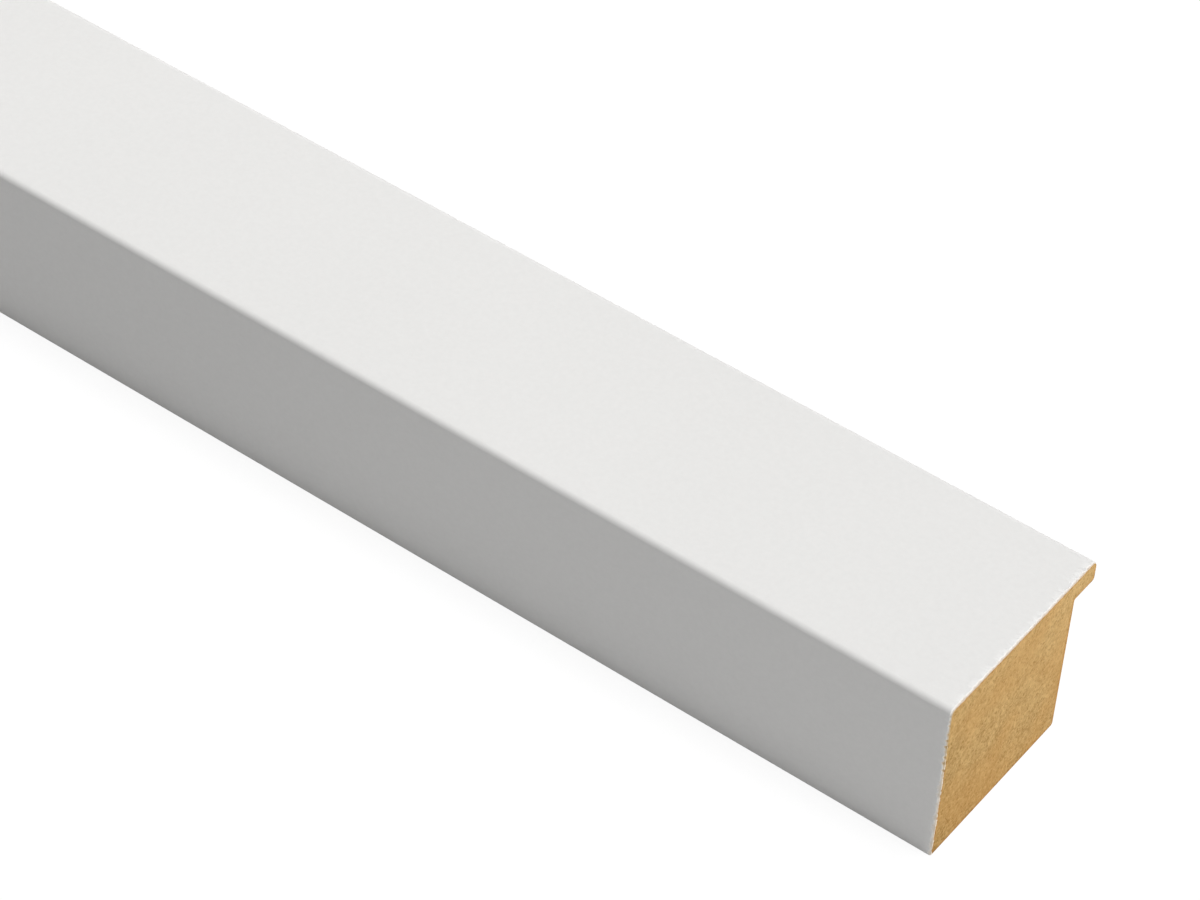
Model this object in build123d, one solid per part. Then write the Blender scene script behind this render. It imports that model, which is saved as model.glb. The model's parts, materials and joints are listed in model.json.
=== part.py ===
from build123d import *

import os

# Picture frame moulding: a stick of timber with a plain box section and a rebate along one back edge.
# A thin white coat covers the three sides that show on a finished frame.
# The stick lies along X on its base, with its outer side towards -Y and its rebate towards +Y.
# The origin is at the middle of the length, on the base, midway between outer side and sight edge.
# All sizes are in millimetres.

# Driving dimensions of the finished stick
stick_length = 1000.0
moulding_width = 40.8  # outer side to sight edge, over the coat
moulding_height = 33.0  # base to face, over the coat
rebate_width = 5.8  # rebate wall to sight edge, over the coat
lip_thickness = 4.4  # rebate seat to face, over the coat
coat_thickness = 0.2  # gesso and paint

# Radii left on the timber by the moulder
face_arris_radius = 0.8  # between the face and the outer side
sight_arris_radius = 1.3  # between the face and the sight edge
lip_arris_radius = 0.4  # between the sight edge and the rebate seat
rebate_corner_radius = 0.3  # where the rebate wall meets the lip
back_arris_radius = 0.5  # between the rebate wall and the base

# Planes of the finished section, measured from the origin
outer_side = -moulding_width / 2
sight_edge = moulding_width / 2
face = moulding_height
rebate_wall = sight_edge - rebate_width
rebate_seat = face - lip_thickness

# Planes of the timber under the coat
timber_front = outer_side + coat_thickness
timber_tip = sight_edge - coat_thickness
timber_face = face - coat_thickness

# On the sight edge the coat stops where the lip's lower arris begins
coat_end = rebate_seat + lip_arris_radius


def rounded_section(outline, radii):
    """A section in (Y, Z) from its corners in order, with some of them rounded: {corner: radius}."""
    section = make_face(Polyline(*outline, close=True))
    for corner, radius in radii.items():
        vertex = section.vertices().sort_by_distance((*corner, 0))[0]
        section = fillet(vertex, radius)
    return section


def run_along_stick(section):
    """A section run the length of the stick, half of it each way from the origin."""
    return extrude(Plane.YZ * section, amount=stick_length / 2, both=True)


timber_section = rounded_section(
    [
        (timber_front, 0),
        (rebate_wall, 0),
        (rebate_wall, rebate_seat),
        (timber_tip, rebate_seat),
        (timber_tip, timber_face),
        (timber_front, timber_face),
    ],
    {
        (rebate_wall, 0): back_arris_radius,
        (rebate_wall, rebate_seat): rebate_corner_radius,
        (timber_tip, rebate_seat): lip_arris_radius,
        (timber_tip, timber_face): sight_arris_radius,
        (timber_front, timber_face): face_arris_radius,
    },
)

# The coat follows the timber round its arrises, so there its thickness adds to their radii
coated_section = rounded_section(
    [
        (outer_side, 0),
        (rebate_wall, 0),
        (rebate_wall, coat_end),
        (sight_edge, coat_end),
        (sight_edge, face),
        (outer_side, face),
    ],
    {
        (rebate_wall, 0): back_arris_radius,
        (sight_edge, face): sight_arris_radius + coat_thickness,
        (outer_side, face): face_arris_radius + coat_thickness,
    },
)

timber_stick = run_along_stick(timber_section)

# The coat is what the coated section has outside the timber
white_coat = run_along_stick(coated_section - timber_section)

os.makedirs("parts", exist_ok=True)
for name, piece in {"timber_stick": timber_stick, "white_coat": white_coat}.items():
    export_step(piece, f"parts/{name}.step")
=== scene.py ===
import json
import math

import bmesh
import bpy
from mathutils import Matrix, Vector


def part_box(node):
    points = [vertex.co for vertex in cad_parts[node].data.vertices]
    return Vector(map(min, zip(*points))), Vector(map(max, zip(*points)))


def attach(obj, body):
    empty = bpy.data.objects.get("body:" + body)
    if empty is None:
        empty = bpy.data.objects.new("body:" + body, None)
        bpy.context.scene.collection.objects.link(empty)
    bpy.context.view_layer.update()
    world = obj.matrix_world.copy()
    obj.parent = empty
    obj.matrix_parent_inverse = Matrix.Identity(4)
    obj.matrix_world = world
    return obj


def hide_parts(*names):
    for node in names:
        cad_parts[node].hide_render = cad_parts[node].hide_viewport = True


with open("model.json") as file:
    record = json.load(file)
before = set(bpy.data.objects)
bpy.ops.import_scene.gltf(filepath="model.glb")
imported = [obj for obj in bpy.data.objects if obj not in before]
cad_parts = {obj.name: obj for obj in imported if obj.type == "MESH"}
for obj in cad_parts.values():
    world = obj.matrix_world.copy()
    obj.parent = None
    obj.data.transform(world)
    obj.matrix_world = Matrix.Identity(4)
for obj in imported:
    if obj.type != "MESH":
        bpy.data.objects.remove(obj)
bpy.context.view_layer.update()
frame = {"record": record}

mm = 0.001

# planes of the section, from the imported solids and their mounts
coatLow, coatHigh = (Vector(corner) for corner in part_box("white_coat"))
timberLow, timberHigh = (Vector(corner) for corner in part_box("timber_stick"))
mountAt = {mount["name"]: Vector(mount["pos_m"]) for mount in frame["record"]["mounts"]}
rebateWall = mountAt["rebate_wall"].y
rebateSeat = mountAt["rebate_seat"].z
coatThickness = coatHigh.z - timberHigh.z
halfLength = coatHigh.x
stickLength = 2 * halfLength
print(f"frame: stick {stickLength / mm:.0f} mm long, coat {coatThickness / mm:.2f} mm thick")


# picking, cutting and pushing, used on both pieces

def startBlock(name, low, high):
    bpy.ops.object.select_all(action="DESELECT")
    bpy.ops.mesh.primitive_cube_add(size=1, location=(low + high) / 2, scale=high - low)
    block = bpy.context.object
    block.name = name
    block.data.name = name
    bpy.ops.object.transform_apply(location=True, rotation=True, scale=True)
    bpy.ops.object.mode_set(mode="EDIT")
    return block


def near(a, b, reach=0.02 * mm):
    return abs(a - b) < reach


def ramp(low, high, value):  # 0 at low, 1 at high, level at both
    share = min(max((value - low) / (high - low), 0), 1)
    return share * share * (3 - 2 * share)


def pickFaces(piece, wanted):  # wanted(middle, normal)
    bpy.ops.mesh.select_mode(type="FACE")
    bpy.ops.mesh.select_all(action="DESELECT")
    mesh = bmesh.from_edit_mesh(piece.data)
    picked = [face for face in mesh.faces if wanted(face.calc_center_median(), face.normal)]
    for face in picked:
        face.select_set(True)
    bmesh.update_edit_mesh(piece.data)
    return len(picked)


def pickEdges(piece, wanted):  # wanted(one end, other end)
    bpy.ops.mesh.select_mode(type="EDGE")
    bpy.ops.mesh.select_all(action="DESELECT")
    mesh = bmesh.from_edit_mesh(piece.data)
    for edge in mesh.edges:
        if wanted(*(vert.co for vert in edge.verts)):
            edge.select_set(True)
    bmesh.update_edit_mesh(piece.data)


def roundEdges(piece, wanted, radius, steps):
    pickEdges(piece, wanted)
    bpy.ops.mesh.bevel(offset=radius, segments=steps, affect="EDGES", clamp_overlap=False)


def runsAlong(y, z):  # a test for the lengthwise edges at one place of the section
    def test(a, b):
        return all(near(end.y, y) and near(end.z, z) for end in (a, b)) and not near(a.x, b.x)
    return test


def cutFaces(piece, place, normal, wanted=None):
    if wanted is None:
        bpy.ops.mesh.select_all(action="SELECT")
    elif not pickFaces(piece, wanted):
        return
    bpy.ops.mesh.bisect(plane_co=place, plane_no=normal, threshold=0.0005 * mm)


def cutAcross(piece, places):
    for x in places:
        cutFaces(piece, (x, 0, 0), (1, 0, 0))


def joinFlat():  # faces in one plane become one
    bpy.ops.mesh.select_all(action="SELECT")
    bpy.ops.mesh.dissolve_limited(angle_limit=math.radians(1))


def facesEnd(face):  # 1 on a saw cut, 0 along the stick
    return int(abs(face.normal.x) > 0.2)


def evenSteps(low, high, step):
    count = max(1, round((high - low) / step))
    return [low + (high - low) * i / count for i in range(1, count)]


def weighPoints(piece, name, weigh):  # weigh(place) gives 0 to 1
    group = piece.vertex_groups.new(name=name)
    for vert in piece.data.vertices:
        weight = weigh(vert.co)
        if weight > 0:
            group.add([vert.index], weight, "REPLACE")


def pushAlongX(piece, groupName, strength, texture=None, middle=0.0):
    push = piece.modifiers.new("push", "DISPLACE")
    push.texture = texture
    push.texture_coords = "LOCAL"
    push.direction = "X"
    push.strength = strength
    push.mid_level = middle
    push.vertex_group = groupName
    bpy.ops.object.modifier_apply(modifier=push.name)


def cloudTexture(name, size, depth, contrast, brightness):
    texture = bpy.data.textures.new(name, "CLOUDS")
    texture.noise_scale = size
    texture.noise_depth = depth
    texture.contrast = contrast
    texture.intensity = brightness
    texture.use_clamp = True
    return texture


segments = 4  # the map lays the stick out in this many rows
segmentCuts = [stickLength * i / segments - halfLength for i in range(1, segments)]

# the timber: one milled stick with a rebate, sawn square at both ends

timber = {
    "faceArris": 0.8 * mm,
    "sightArris": 1.3 * mm,
    "lipArris": 0.4 * mm,
    "rebateCorner": 0.3 * mm,
    "backArris": 0.5 * mm,
    "arrisSteps": 6,
    "endBand": 2.0 * mm,  # the last stretch before each end has its own faces
    "endBreak": 0.05 * mm,  # small break along the bare edges of the saw cut
    "endBreakSteps": 2,
    "endCell": 0.35 * mm,  # grid on the sawn ends
    "sawDepth": 0.06 * mm,  # unevenness that the blade leaves
    "sawSize": 0.9 * mm,
    "edgeShade": 0.8 * mm,  # width of the darker line along the edges of the saw cut
    "cleanFrom": (19 * mm, 24 * mm),  # above these heights the outer edge has no such line
}


def edgeDistance(place):  # from a point of the timber's section to the nearest edge of it
    toSides = min(place.y - timberLow.y, place.z - timberLow.z, timberHigh.z - place.z)
    if place.z < rebateSeat:
        return min(toSides, rebateWall - place.y)
    toTip = timberHigh.y - place.y
    if place.y > rebateWall:
        return min(toSides, toTip, place.z - rebateSeat)
    return min(toSides, toTip, math.hypot(rebateWall - place.y, place.z - rebateSeat))


def makeTimber():
    stick = startBlock("timberStick", timberLow, Vector((halfLength, rebateWall, timberHigh.z)))

    # the lip grows out of the top of the rebate wall
    cutFaces(stick, (0, 0, rebateSeat), (0, 0, 1))
    pickFaces(stick, lambda middle, normal: normal.y > 0.9 and middle.z > rebateSeat)
    bpy.ops.mesh.extrude_region_move(
        TRANSFORM_OT_translate={"value": (0, timberHigh.y - rebateWall, 0)})
    joinFlat()

    for y, z, radius in (
        (timberLow.y, timberHigh.z, timber["faceArris"]),
        (timberHigh.y, timberHigh.z, timber["sightArris"]),
        (timberHigh.y, rebateSeat, timber["lipArris"]),
        (rebateWall, rebateSeat, timber["rebateCorner"]),
        (rebateWall, timberLow.z, timber["backArris"]),
    ):
        roundEdges(stick, runsAlong(y, z), radius, timber["arrisSteps"])

    bandStart = halfLength - timber["endBand"]
    cutAcross(stick, [-bandStart, *segmentCuts, bandStart])

    # the saw cut's edges on base and rebate
    def onBareEdge(a, b):
        middle = (a + b) / 2
        inRebate = (middle.y > rebateWall - timber["backArris"]
                    and middle.z < rebateSeat + timber["lipArris"])
        atEnd = near(abs(a.x), halfLength) and near(a.x, b.x)
        return atEnd and (middle.z < timber["backArris"] or inRebate)

    roundEdges(stick, onBareEdge, timber["endBreak"], timber["endBreakSteps"])

    # a fine grid on both saw cuts, for the marks of the blade
    def onEnd(middle, normal):
        return abs(normal.x) > 0.95

    for y in evenSteps(timberLow.y, timberHigh.y, timber["endCell"]):
        cutFaces(stick, (0, y, 0), (0, 1, 0), onEnd)
    for z in evenSteps(timberLow.z, timberHigh.z, timber["endCell"]):
        cutFaces(stick, (0, 0, z), (0, 0, 1), onEnd)
    bpy.ops.object.mode_set(mode="OBJECT")
    sawEnds(stick)
    return stick


def sawEnds(stick):
    uneven = cloudTexture("sawMarks", timber["sawSize"], depth=2, contrast=1.2, brightness=1.0)
    for side, name in ((1, "nearSaw"), (-1, "farSaw")):
        def weigh(place):
            if not near(place.x * side, halfLength):
                return 0
            return ramp(0, timber["edgeShade"], edgeDistance(place))
        weighPoints(stick, name, weigh)
        pushAlongX(stick, name, -side * timber["sawDepth"], uneven)

    # how close each point of the saw cut is to its edge, for the end grain's colour
    def shadeAt(place):
        besideOuter = ramp(2 * timber["edgeShade"], timber["edgeShade"], place.y - timberLow.y)
        clean = besideOuter * ramp(*timber["cleanFrom"], place.z)
        return (1 - clean) * (1 - ramp(0, timber["edgeShade"], edgeDistance(place)))

    shade = stick.data.attributes.new("edgeShade", "FLOAT", "POINT")
    for vert, value in zip(stick.data.vertices, shade.data):
        value.value = shadeAt(vert.co)


stick = makeTimber()
print("timber:", len(stick.data.polygons), "faces")
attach(stick, "root")
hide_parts("timber_stick")

# the coat: gesso and paint over outer side, face and sight edge

coat = {
    "faceArris": timber["faceArris"] + coatThickness,
    "sightArris": timber["sightArris"] + coatThickness,
    "arrisSteps": 8,
    "sightEnd": rebateSeat + timber["lipArris"],  # on the sight edge it stops at the lip's lower arris
    "lowerEdge": 0.08 * mm,  # rounding where the paint ends at the base and on the sight edge
    "lowerEdgeSteps": 4,
    "endBand": 1.5 * mm,
    "endCell": 0.2 * mm,  # spacing of the points along the saw cut
    "frayed": 0.35 * mm,  # how far the saw crumbled the cut edge, all along it
    "frayedSize": 0.4 * mm,
    "frayedLeast": 0.4,  # the least of it, as a share
    "frayedDepth": 0.8,  # share of the thickness that crumbled
    "chipped": 0.5 * mm,  # how far the larger chips reach
    "chippedSize": 1.3 * mm,
    "chippedElsewhere": 0.15,  # share of that away from the low outer side
    "soundAbove": 27 * mm,  # above this height the outer side is only frayed
    "chippedBelow": 22 * mm,
    "missing": {  # chips through to the timber: height, half width and depth of each
        1: [(24.9 * mm, 0.5 * mm, 0.36 * mm), (27.7 * mm, 0.4 * mm, 0.2 * mm),
            (22.6 * mm, 0.35 * mm, 0.24 * mm), (29.6 * mm, 0.3 * mm, 0.14 * mm),
            (26.3 * mm, 0.4 * mm, 0.28 * mm), (21.2 * mm, 0.45 * mm, 0.3 * mm),
            (19.7 * mm, 0.3 * mm, 0.22 * mm)],
        -1: [(9.4 * mm, 0.55 * mm, 0.34 * mm), (14.2 * mm, 0.35 * mm, 0.2 * mm),
             (26.3 * mm, 0.4 * mm, 0.26 * mm)],
    },
}


def coatDepth(place):  # how far a point of the section lies under the coat's surface
    def underArris(side, radius):
        down = coatHigh.z - place.z
        if side < radius and down < radius:
            return radius - math.hypot(radius - side, radius - down)
        return min(side, down)
    return min(underArris(place.y - coatLow.y, coat["faceArris"]),
               underArris(coatHigh.y - place.y, coat["sightArris"]))


def makeCoat():
    skin = startBlock("whiteCoat", coatLow, coatHigh)
    cutFaces(skin, (0, 0, coat["sightEnd"]), (0, 0, 1))

    def bare(middle, normal):
        inRebate = normal.y > 0.9 and middle.z < coat["sightEnd"]
        return normal.z < -0.9 or abs(normal.x) > 0.9 or inRebate

    pickFaces(skin, bare)
    bpy.ops.mesh.delete(type="FACE")
    joinFlat()
    roundEdges(skin, runsAlong(coatLow.y, coatHigh.z), coat["faceArris"], coat["arrisSteps"])
    roundEdges(skin, runsAlong(coatHigh.y, coatHigh.z), coat["sightArris"], coat["arrisSteps"])

    bandStart = halfLength - coat["endBand"]
    cutAcross(skin, [-bandStart, *segmentCuts, bandStart])

    # points along the saw cut, close enough for its chips
    def inBand(middle, normal):
        return abs(middle.x) > bandStart

    for y in evenSteps(coatLow.y + coat["faceArris"], coatHigh.y - coat["sightArris"], coat["endCell"]):
        cutFaces(skin, (0, y, 0), (0, 1, 0), inBand)
    for z in evenSteps(coatLow.z, coatHigh.z - coat["faceArris"], coat["endCell"]):
        cutFaces(skin, (0, 0, z), (0, 0, 1), inBand)
    bpy.ops.object.mode_set(mode="OBJECT")

    wall = skin.modifiers.new("wall", "SOLIDIFY")
    wall.thickness = coatThickness
    wall.offset = -1
    wall.use_even_offset = True
    bpy.ops.object.modifier_apply(modifier=wall.name)

    bpy.ops.object.mode_set(mode="EDIT")
    for y, z in ((coatLow.y, coatLow.z), (coatHigh.y, coat["sightEnd"])):
        roundEdges(skin, runsAlong(y, z), coat["lowerEdge"], coat["lowerEdgeSteps"])
    bpy.ops.object.mode_set(mode="OBJECT")
    chipEnds(skin)
    return skin


def chipEnds(skin):  # the saw leaves the coat's edge crumbled, and chipped low on the outer side
    frayed = cloudTexture("frayedEdge", coat["frayedSize"], depth=2, contrast=1.5, brightness=1.0)
    chipped = cloudTexture("chippedEdge", coat["chippedSize"], depth=2, contrast=2.6, brightness=0.65)
    for side, end in ((1, "near"), (-1, "far")):
        def onCut(place):  # 1 on the coat's surface, falling to 0 at the timber
            if not near(place.x * side, halfLength):
                return 0
            return max(0, 1 - coatDepth(place) / (coat["frayedDepth"] * coatThickness))

        def onChippedCut(place):
            low = ramp(coat["soundAbove"], coat["chippedBelow"], place.z)
            onSide = ramp(2 * coat["faceArris"], coat["faceArris"], place.y - coatLow.y)
            elsewhere = coat["chippedElsewhere"]
            return onCut(place) * (elsewhere + (1 - elsewhere) * low * onSide)

        weighPoints(skin, end + "Frayed", onCut)
        weighPoints(skin, end + "Chipped", onChippedCut)
        pushAlongX(skin, end + "Frayed", -side * coat["frayed"], frayed, middle=-coat["frayedLeast"])
        pushAlongX(skin, end + "Chipped", -side * coat["chipped"], chipped)

    for side, chips in coat["missing"].items():
        for i, (height, halfWidth, depth) in enumerate(chips):
            def onMissing(place):
                if place.x * side < halfLength - coat["endBand"] / 2 or place.y > 0:
                    return 0
                return ramp(halfWidth, 0, abs(place.z - height))
            name = f"missing{side}{i}"
            weighPoints(skin, name, onMissing)
            pushAlongX(skin, name, -side * depth)

    # how deep each point lies in the coat, for the colour of its cut rim
    layer = skin.data.attributes.new("rimDepth", "FLOAT", "POINT")
    for vert, value in zip(skin.data.vertices, layer.data):
        value.value = coatDepth(vert.co) / coatThickness


skin = makeCoat()
print("coat:", len(skin.data.polygons), "faces")
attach(skin, "root")
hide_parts("white_coat")


# round arrises shade smoothly, flat faces stay flat

def smoothArrises(piece, angle=30):
    bpy.ops.object.select_all(action="DESELECT")
    piece.select_set(True)
    bpy.context.view_layer.objects.active = piece
    bpy.ops.object.shade_smooth_by_angle(angle=math.radians(angle))
    flat = piece.modifiers.new("flatFaces", "WEIGHTED_NORMAL")
    flat.keep_sharp = True
    flat.weight = 100
    bpy.ops.object.modifier_apply(modifier=flat.name)


smoothArrises(stick)
smoothArrises(skin)


# maps: the stick's sides in rows, its ends and hidden faces beside them

rows = {
    "margin": 0.01,
    "coatRow": 0.225,  # height of a row of the coat's outside
    "timberRow": 0.14,  # height of a row of the timber's bare sides
    "gap": 0.008,
    "endRim": 0.012,
    "endSize": (0.44, 0.36),
}


def segmentOf(x):
    return min(int((x + halfLength) / stickLength * segments), segments - 1)


def alongRow(face, point):
    share = (point.x + halfLength) / stickLength * segments - segmentOf(face.center.x)
    return rows["margin"] + share * (1 - 2 * rows["margin"])


def aroundCoat(point):  # 0 at the base, up the outer side, across the face, to 1 low on the sight edge
    rise, across, drop = point.z - coatLow.z, point.y - coatLow.y, coatHigh.z - point.z
    way = rise + across if point.y < 0 else coatHigh.z + across + drop
    return way / (coatHigh.z + coatHigh.y - coatLow.y + coatHigh.z - coat["sightEnd"])


def mapCoat(face, point):
    segment, around = segmentOf(face.center.x), aroundCoat(point)
    if facesEnd(face):  # the cut rim
        base = rows["gap"] if face.center.x > 0 else 2 * rows["gap"] + rows["endRim"]
        share = min(max(coatDepth(point) / coatThickness, 0), 1)
        return rows["margin"] + around * (1 - 2 * rows["margin"]), base + share * rows["endRim"]
    base = 4 * rows["gap"] + 2 * rows["endRim"]
    if coatDepth(face.center) > 0.5 * coatThickness:  # hidden against the timber
        return alongRow(face, point), base + (segment + around) / segments * rows["gap"]
    base += 2 * rows["gap"] + segment * (rows["coatRow"] + rows["gap"])
    return alongRow(face, point), base + around * rows["coatRow"]


def mapTimber(face, point):
    across, rise = point.y - timberLow.y, point.z - timberLow.z
    if facesEnd(face):
        width, height = rows["endSize"]
        left = rows["margin"] if face.center.x > 0 else 0.5 + rows["margin"]
        return (left + across / (timberHigh.y - timberLow.y) * width,
                rows["gap"] + rise / (timberHigh.z - timberLow.z) * height)
    segment = segmentOf(face.center.x)
    around = (across + rise) / (timberHigh.y - timberLow.y + rebateSeat)
    base = 2 * rows["gap"] + rows["endSize"][1]
    middle = face.center
    inside = min(middle.y - timberLow.y, timberHigh.z - middle.z, timberHigh.y - middle.y)
    if inside < 0.1 * mm:  # under the coat
        return alongRow(face, point), base + (segment + around) / segments * rows["gap"]
    base += 2 * rows["gap"] + segment * (rows["timberRow"] + rows["gap"])
    return alongRow(face, point), base + around * rows["timberRow"]


def unfold(piece, mapPoint):
    for old in list(piece.data.uv_layers):
        piece.data.uv_layers.remove(old)
    layer = piece.data.uv_layers.new(name="OFBake")
    for face in piece.data.polygons:
        for loop in face.loop_indices:
            point = piece.data.vertices[piece.data.loops[loop].vertex_index].co
            layer.data[loop].uv = mapPoint(face, point)


unfold(stick, mapTimber)
unfold(skin, mapCoat)
print("maps laid out")


# materials

def addNode(tree, kind, inputs=None, **settings):
    made = tree.nodes.new("ShaderNode" + kind)
    for name, value in settings.items():
        setattr(made, name, value)
    for name, value in (inputs or {}).items():
        if isinstance(value, bpy.types.NodeSocket):
            tree.links.new(value, made.inputs[name])
        else:
            made.inputs[name].default_value = value
    return made


def newFinish(name):
    finish = bpy.data.materials.new(name)
    finish.use_nodes = True
    tree = finish.node_tree
    return finish, tree, tree.nodes["Principled BSDF"]


def placeOn(tree, scale=(1, 1, 1), shift=(0, 0, 0)):
    place = addNode(tree, "TexCoord").outputs["Object"]
    return addNode(tree, "Mapping", {"Vector": place, "Scale": scale, "Location": shift}).outputs[0]


def noise(tree, place, size, detail=2.0, roughness=0.5):  # size of the blotches, in metres
    return addNode(tree, "TexNoise", {
        "Vector": place, "Scale": 1 / size, "Detail": detail, "Roughness": roughness}).outputs["Fac"]


def maths(tree, operation, a, b=0.0, c=0.0):
    return addNode(tree, "Math", {0: a, 1: b, 2: c}, operation=operation).outputs[0]


def spread(tree, value, low, high, outLow=0.0, outHigh=1.0):
    return addNode(tree, "MapRange", {
        "Value": value, "From Min": low, "From Max": high,
        "To Min": outLow, "To Max": outHigh}).outputs[0]


def addUp(tree, start, *shares):  # start plus each value's share, the values measured from 0.5
    total = start
    for value, share in shares:
        total = maths(tree, "MULTIPLY_ADD", maths(tree, "SUBTRACT", value, 0.5), share, total)
    return total


def blendColours(tree, factor, a, b, mode="MIX"):
    mix = addNode(tree, "Mix", data_type="RGBA", blend_type=mode)
    for socket, value in ((mix.inputs[0], factor), (mix.inputs[6], a), (mix.inputs[7], b)):
        if isinstance(value, bpy.types.NodeSocket):
            tree.links.new(value, socket)
        else:
            socket.default_value = value
    return mix.outputs[2]


def emboss(tree, shader, height, depth):
    bump = addNode(tree, "Bump", {"Height": height, "Distance": depth})
    tree.links.new(bump.outputs[0], shader.inputs["Normal"])


def srgb(red, green, blue):  # a colour written as 0 to 255
    def linear(level):
        level /= 255
        return level / 12.92 if level <= 0.04045 else ((level + 0.055) / 1.055) ** 2.4
    return (linear(red), linear(green), linear(blue), 1)


midRange = (0.3, 0.7)  # most of a noise's values lie between these

paint = {
    "dull": srgb(227, 226, 224),
    "pale": srgb(237, 236, 234),
    "mottleSize": 0.9 * mm,
    "mottle": 0.7,
    "cloudSize": 70 * mm,
    "cloud": 0.5,
    "peelSize": 1.1 * mm,  # the spray gun's orange peel
    "peelDepth": 0.02 * mm,
    "roughness": (0.5, 0.62),
    "specular": 0.3,
}


def makePaint():
    finish, tree, shader = newFinish("whitePaint")
    place = placeOn(tree)
    mottle = noise(tree, place, paint["mottleSize"], detail=3, roughness=0.6)
    cloud = noise(tree, place, paint["cloudSize"], detail=1)
    tone = addUp(tree, 0.5, (mottle, paint["mottle"]), (cloud, paint["cloud"]))
    tree.links.new(blendColours(tree, tone, paint["dull"], paint["pale"]), shader.inputs["Base Color"])
    peel = noise(tree, place, paint["peelSize"])
    emboss(tree, shader, peel, paint["peelDepth"])
    tree.links.new(spread(tree, peel, *midRange, *paint["roughness"]), shader.inputs["Roughness"])
    shader.inputs["Specular IOR Level"].default_value = paint["specular"]
    return finish


gesso = {
    "dull": srgb(230, 225, 215),
    "pale": srgb(247, 245, 243),
    "stainedSide": srgb(226, 197, 150),  # its colour next to the timber on the outer side
    "stainedFace": srgb(205, 189, 170),  # and round the face
    "faceFrom": (31 * mm, 32.6 * mm),  # one passes into the other between these heights
    "stainedDepth": (0.2, 0.8),  # shares of the thickness where the stain begins and is full
    "stainedHeights": (16 * mm, 21 * mm),
    "stainedShares": (0.4, 0.9),  # share of the stain at each of those heights
    "grain": 0.22 * mm,
    "grainRange": (0.3, 0.6),
    "depth": 0.05 * mm,
    "roughness": 0.9,
    "specular": 0.2,
}


def makeGesso():
    finish, tree, shader = newFinish("cutGesso")
    grain = noise(tree, placeOn(tree), gesso["grain"], roughness=0.6)
    tone = spread(tree, grain, *gesso["grainRange"])
    colour = blendColours(tree, tone, gesso["dull"], gesso["pale"])
    depth = addNode(tree, "Attribute", attribute_name="rimDepth").outputs["Fac"]
    height = addNode(tree, "SeparateXYZ", {"Vector": placeOn(tree)}).outputs["Z"]
    stain = maths(tree, "MULTIPLY", spread(tree, depth, *gesso["stainedDepth"]),
                  spread(tree, height, *gesso["stainedHeights"], *gesso["stainedShares"]))
    onFace = spread(tree, height, *gesso["faceFrom"])
    stained = blendColours(tree, onFace, gesso["stainedSide"], gesso["stainedFace"])
    colour = blendColours(tree, stain, colour, stained)
    tree.links.new(colour, shader.inputs["Base Color"])
    emboss(tree, shader, grain, gesso["depth"])
    shader.inputs["Roughness"].default_value = gesso["roughness"]
    shader.inputs["Specular IOR Level"].default_value = gesso["specular"]
    return finish


wood = {
    "pith": Vector((0, 60 * mm, 0)),  # heart of the tree, outside the stick
    "ringWidth": 8 * mm,
    "ringWobble": 1.2,
    "poreSize": 0.75 * mm,
    "poreRange": (0.1, 0.36),  # distances from a pore's middle, in pores, between which it fades
    "fibreSize": 0.75 * mm,
    "patchSize": 5 * mm,
    "stainSize": 11 * mm,
    "stainRange": (0.38, 0.62),
    "drawnOut": 0.02,  # the patterns' scale along the stick, across it is 1
    "toneRange": (0.2, 0.8),
    "roughness": (0.85, 0.7),  # at each end of those tones
    "specular": 0.25,
    "edgeTint": srgb(241, 220, 186),  # multiplies the colour along the saw cut's edges
    "crumbs": srgb(243, 236, 222),  # gesso that the saw dragged over the end grain
    "crumbSize": 0.7 * mm,
    "crumbFade": 0.08 * mm,
    "crumbHeight": (30 * mm, 19 * mm),  # on the outer side, none above the first, all below the second
    "sideReach": (-0.08 * mm, 0.54 * mm),  # least and most reach from the outer side
    "sideCover": 0.85,
    "faceReach": (0.02 * mm, 0.36 * mm),  # and from the face
    "faceCover": 0.4,
}
endGrain = {
    "dark": srgb(135, 95, 22),
    "light": srgb(226, 188, 124),
    "tint": srgb(197, 148, 80),
    "tintShare": 0.38,
    "middle": 0.59,  # tone of the plain wood, from dark to light
    "fibre": 1.68,
    "ring": 0.03,
    "pore": 0.3,
    "patch": 0.32,
    "paintedShadeSlope": (0, 4.3, 7),  # painted shade and light: the end grain is painted darker towards the base and the outer side and lighter towards the face and the rebate, tone per metre
    "depth": 0.06 * mm,
}
longGrain = {
    "dark": srgb(184, 146, 92),
    "light": srgb(232, 204, 156),
    "tint": srgb(214, 172, 112),
    "tintShare": 0.3,
    "middle": 0.5,
    "fibre": 0.8,
    "ring": 0.12,
    "pore": 0.3,
    "patch": 0.35,
    "paintedShadeSlope": (0, 0, 0),
    "depth": 0.03 * mm,
}


def crumbsOn(tree):  # 1 where crumbs of gesso cover the end grain beside the outer side and the face
    place = addNode(tree, "SeparateXYZ", {"Vector": placeOn(tree)})
    ragged = noise(tree, placeOn(tree), wood["crumbSize"], detail=3, roughness=0.7)

    def within(reach, distance, cover):
        inside = maths(tree, "SUBTRACT", reach, distance)
        return spread(tree, inside, 0, wood["crumbFade"], 0, cover)

    sideReach = spread(tree, ragged, *midRange, *wood["sideReach"])
    lowEnough = spread(tree, place.outputs["Z"], *wood["crumbHeight"])
    fromSide = maths(tree, "SUBTRACT", place.outputs["Y"], timberLow.y)
    onSide = within(maths(tree, "MULTIPLY", sideReach, lowEnough), fromSide, wood["sideCover"])
    faceReach = spread(tree, ragged, *midRange, *wood["faceReach"])
    fromFace = maths(tree, "SUBTRACT", timberHigh.z, place.outputs["Z"])
    onFace = within(faceReach, fromFace, wood["faceCover"])
    return maths(tree, "MAXIMUM", onSide, onFace)


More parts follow.
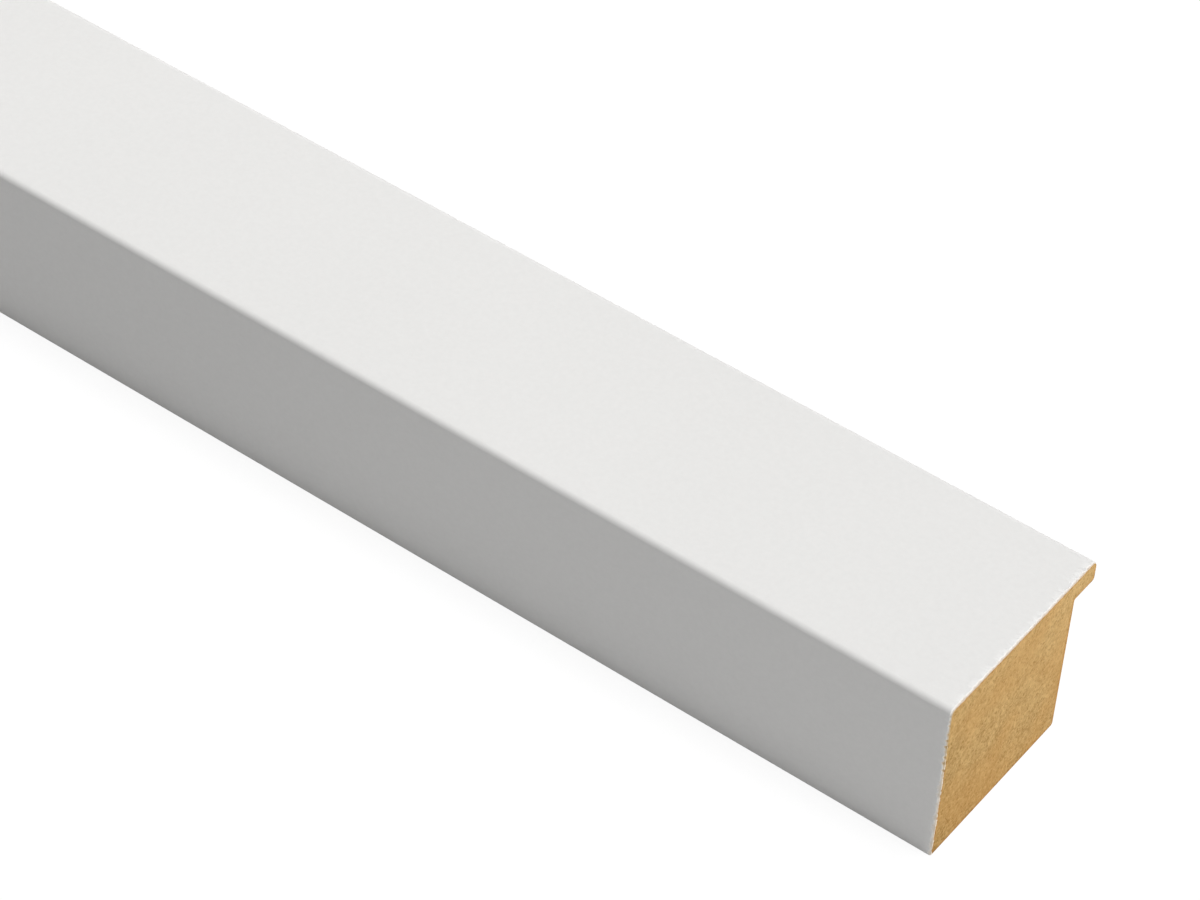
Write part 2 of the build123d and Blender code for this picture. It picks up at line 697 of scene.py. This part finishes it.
def makeWood(name, grain, edges):
    finish, tree, shader = newFinish(name)
    squeeze = (wood["drawnOut"], 1, 1)
    place = placeOn(tree, squeeze)
    fromMiddle = placeOn(tree, shift=(0, 0, -timberHigh.z / 2))
    rings = addNode(tree, "TexWave", {
        "Vector": placeOn(tree, squeeze, -wood["pith"]),
        "Scale": 2 * math.pi / 20 / wood["ringWidth"],  # the node's waves are 2 pi / 20 apart at scale 1
        "Distortion": wood["ringWobble"], "Detail": 2, "Detail Scale": 0.6,
    }, wave_type="RINGS", rings_direction="X")
    fibre = noise(tree, place, wood["fibreSize"], detail=5, roughness=0.8)
    patch = noise(tree, place, wood["patchSize"])
    stain = noise(tree, place, wood["stainSize"], detail=1)
    cells = addNode(tree, "TexVoronoi", {"Vector": place, "Scale": 1 / wood["poreSize"]})
    pore = spread(tree, cells.outputs["Distance"], *wood["poreRange"], 1, 0)
    # painted shade and light: the end grain's tone leans with its place, darker low and beside the outer
    # side, lighter up and towards the rebate
    paintedShadeSlope = addNode(tree, "VectorMath", {
        0: fromMiddle, 1: grain["paintedShadeSlope"]}, operation="DOT_PRODUCT").outputs["Value"]
    tone = addUp(tree, paintedShadeSlope, (fibre, grain["fibre"]), (rings.outputs["Fac"], grain["ring"]),
                 (patch, grain["patch"]))
    tone = maths(tree, "ADD", maths(tree, "MULTIPLY_ADD", pore, -grain["pore"], tone), grain["middle"])
    colour = blendColours(tree, tone, grain["dark"], grain["light"])
    warm = maths(tree, "MULTIPLY", spread(tree, stain, *wood["stainRange"]), grain["tintShare"])
    colour = blendColours(tree, warm, colour, grain["tint"])
    if edges:
        shade = addNode(tree, "Attribute", attribute_name="edgeShade").outputs["Fac"]
        colour = blendColours(tree, shade, colour, wood["edgeTint"], "MULTIPLY")
        colour = blendColours(tree, crumbsOn(tree), colour, wood["crumbs"])
    tree.links.new(colour, shader.inputs["Base Color"])
    emboss(tree, shader, maths(tree, "SUBTRACT", fibre, pore), grain["depth"])
    roughness = spread(tree, tone, *wood["toneRange"], *wood["roughness"])
    tree.links.new(roughness, shader.inputs["Roughness"])
    shader.inputs["Specular IOR Level"].default_value = wood["specular"]
    return finish


def dress(piece, finishes, choose):  # choose(face) gives the finish's number
    piece.data.materials.clear()
    for finish in finishes:
        piece.data.materials.append(finish)
    for face in piece.data.polygons:
        face.material_index = choose(face)


dress(stick, [makeWood("longGrain", longGrain, False), makeWood("endGrain", endGrain, True)], facesEnd)
dress(skin, [makePaint(), makeGesso()], facesEnd)
print("materials on")

# floor, light and camera

stage = {
    "floorSize": 60.0,
    "floorLit": (0.56, 0.77),  # its tone for the light that it throws back on the object
    "floorPaintedPool": (0.2, 0.6),  # a painted pool of light: the floor throws back more light round the near end, going from one tone to the other between these places along the stick, in metres
    "floorShown": 0.15,  # its tone for the camera, with the glow below added, so that it stays white
    "floorGlow": 0.88,
    "skyLevel": 0.1,  # for the light on the object
    "skyShown": 1.05,  # for the camera
    "skyColour": (0.97, 0.985, 1, 1),
    "lamps": {  # where each comes from, its strength and its width in degrees
        "softKey": (Vector((0.05, 0.051, 0.45)), 1.98, 22),
        "frontFill": (Vector((0, -1, 1)), 0.3, 30),
        "endFill": (Vector((1, 0.1, 0.36)), 1.49, 34),
        "backFill": (Vector((-0.7, 0.9, 0.25)), 0.55, 40),
    },
}


def seenDirectly(tree):  # 1 for rays that show the background, 0 for the light that falls on the object
    path = addNode(tree, "LightPath")
    shown = maths(tree, "MAXIMUM", path.outputs["Is Camera Ray"], path.outputs["Is Glossy Ray"])
    return maths(tree, "MAXIMUM", shown, path.outputs["Is Transmission Ray"])


def makeFloor():
    bpy.ops.mesh.primitive_plane_add(size=stage["floorSize"], location=(0, 0, 0))
    floor = bpy.context.object
    floor.name = "studioFloor"
    finish = bpy.data.materials.new("paleFloor")
    finish.use_nodes = True
    tree = finish.node_tree
    tree.nodes.remove(tree.nodes["Principled BSDF"])
    shown = seenDirectly(tree)
    along = addNode(tree, "SeparateXYZ", {"Vector": placeOn(tree)}).outputs["X"]
    # painted pool of light: the floor's bounce is brighter round the near end
    lit = spread(tree, along, *stage["floorPaintedPool"], *stage["floorLit"])
    matt = addNode(tree, "BsdfDiffuse", {"Color": spread(tree, shown, 0, 1, lit, stage["floorShown"])})
    glow = addNode(tree, "Emission", {"Strength": maths(tree, "MULTIPLY", shown, stage["floorGlow"])})
    both = addNode(tree, "AddShader", {0: matt.outputs[0], 1: glow.outputs[0]})
    tree.links.new(both.outputs[0], tree.nodes["Material Output"].inputs["Surface"])
    floor.data.materials.append(finish)


def makeLight():
    world = bpy.data.worlds.new("studio")
    world.use_nodes = True
    tree = world.node_tree
    sky = tree.nodes["Background"]
    sky.inputs["Color"].default_value = stage["skyColour"]
    strength = spread(tree, seenDirectly(tree), 0, 1, stage["skyLevel"], stage["skyShown"])
    tree.links.new(strength, sky.inputs["Strength"])
    bpy.context.scene.world = world
    for name, (comesFrom, strength, width) in stage["lamps"].items():
        bpy.ops.object.light_add(type="SUN", location=comesFrom)
        lamp = bpy.context.object
        lamp.name = name
        lamp.rotation_euler = comesFrom.to_track_quat("Z", "Y").to_euler()
        lamp.data.energy = strength
        lamp.data.angle = math.radians(width)


camera = {
    "fromNearCorner": Vector((0.1814, -0.3563, 0.4675)),  # from the near end's lower outer corner
    "azimuth": 34.77,
    "elevation": 44.17,
    "roll": 3.31,
    "lens": 119.2,
    "sensor": 36.0,
    "clip": (0.01, 200),
}


def makeCamera():
    azimuth, elevation = math.radians(camera["azimuth"]), math.radians(camera["elevation"])
    flat = math.cos(elevation)
    back = Vector((math.sin(azimuth) * flat, -math.cos(azimuth) * flat, math.sin(elevation)))
    nearCorner = Vector((halfLength, coatLow.y, coatLow.z))
    bpy.ops.object.camera_add(location=nearCorner + camera["fromNearCorner"])
    eye = bpy.context.object
    eye.name = "photoCamera"
    level = (-back).to_track_quat("-Z", "Y").to_matrix()
    eye.rotation_euler = (level @ Matrix.Rotation(math.radians(camera["roll"]), 3, "Z")).to_euler()
    eye.data.lens = camera["lens"]
    eye.data.sensor_width = camera["sensor"]
    eye.data.clip_start, eye.data.clip_end = camera["clip"]
    bpy.context.scene.camera = eye


makeFloor()
makeLight()
makeCamera()
bpy.context.scene.view_settings.view_transform = "Standard"
print("floor, light and camera set")
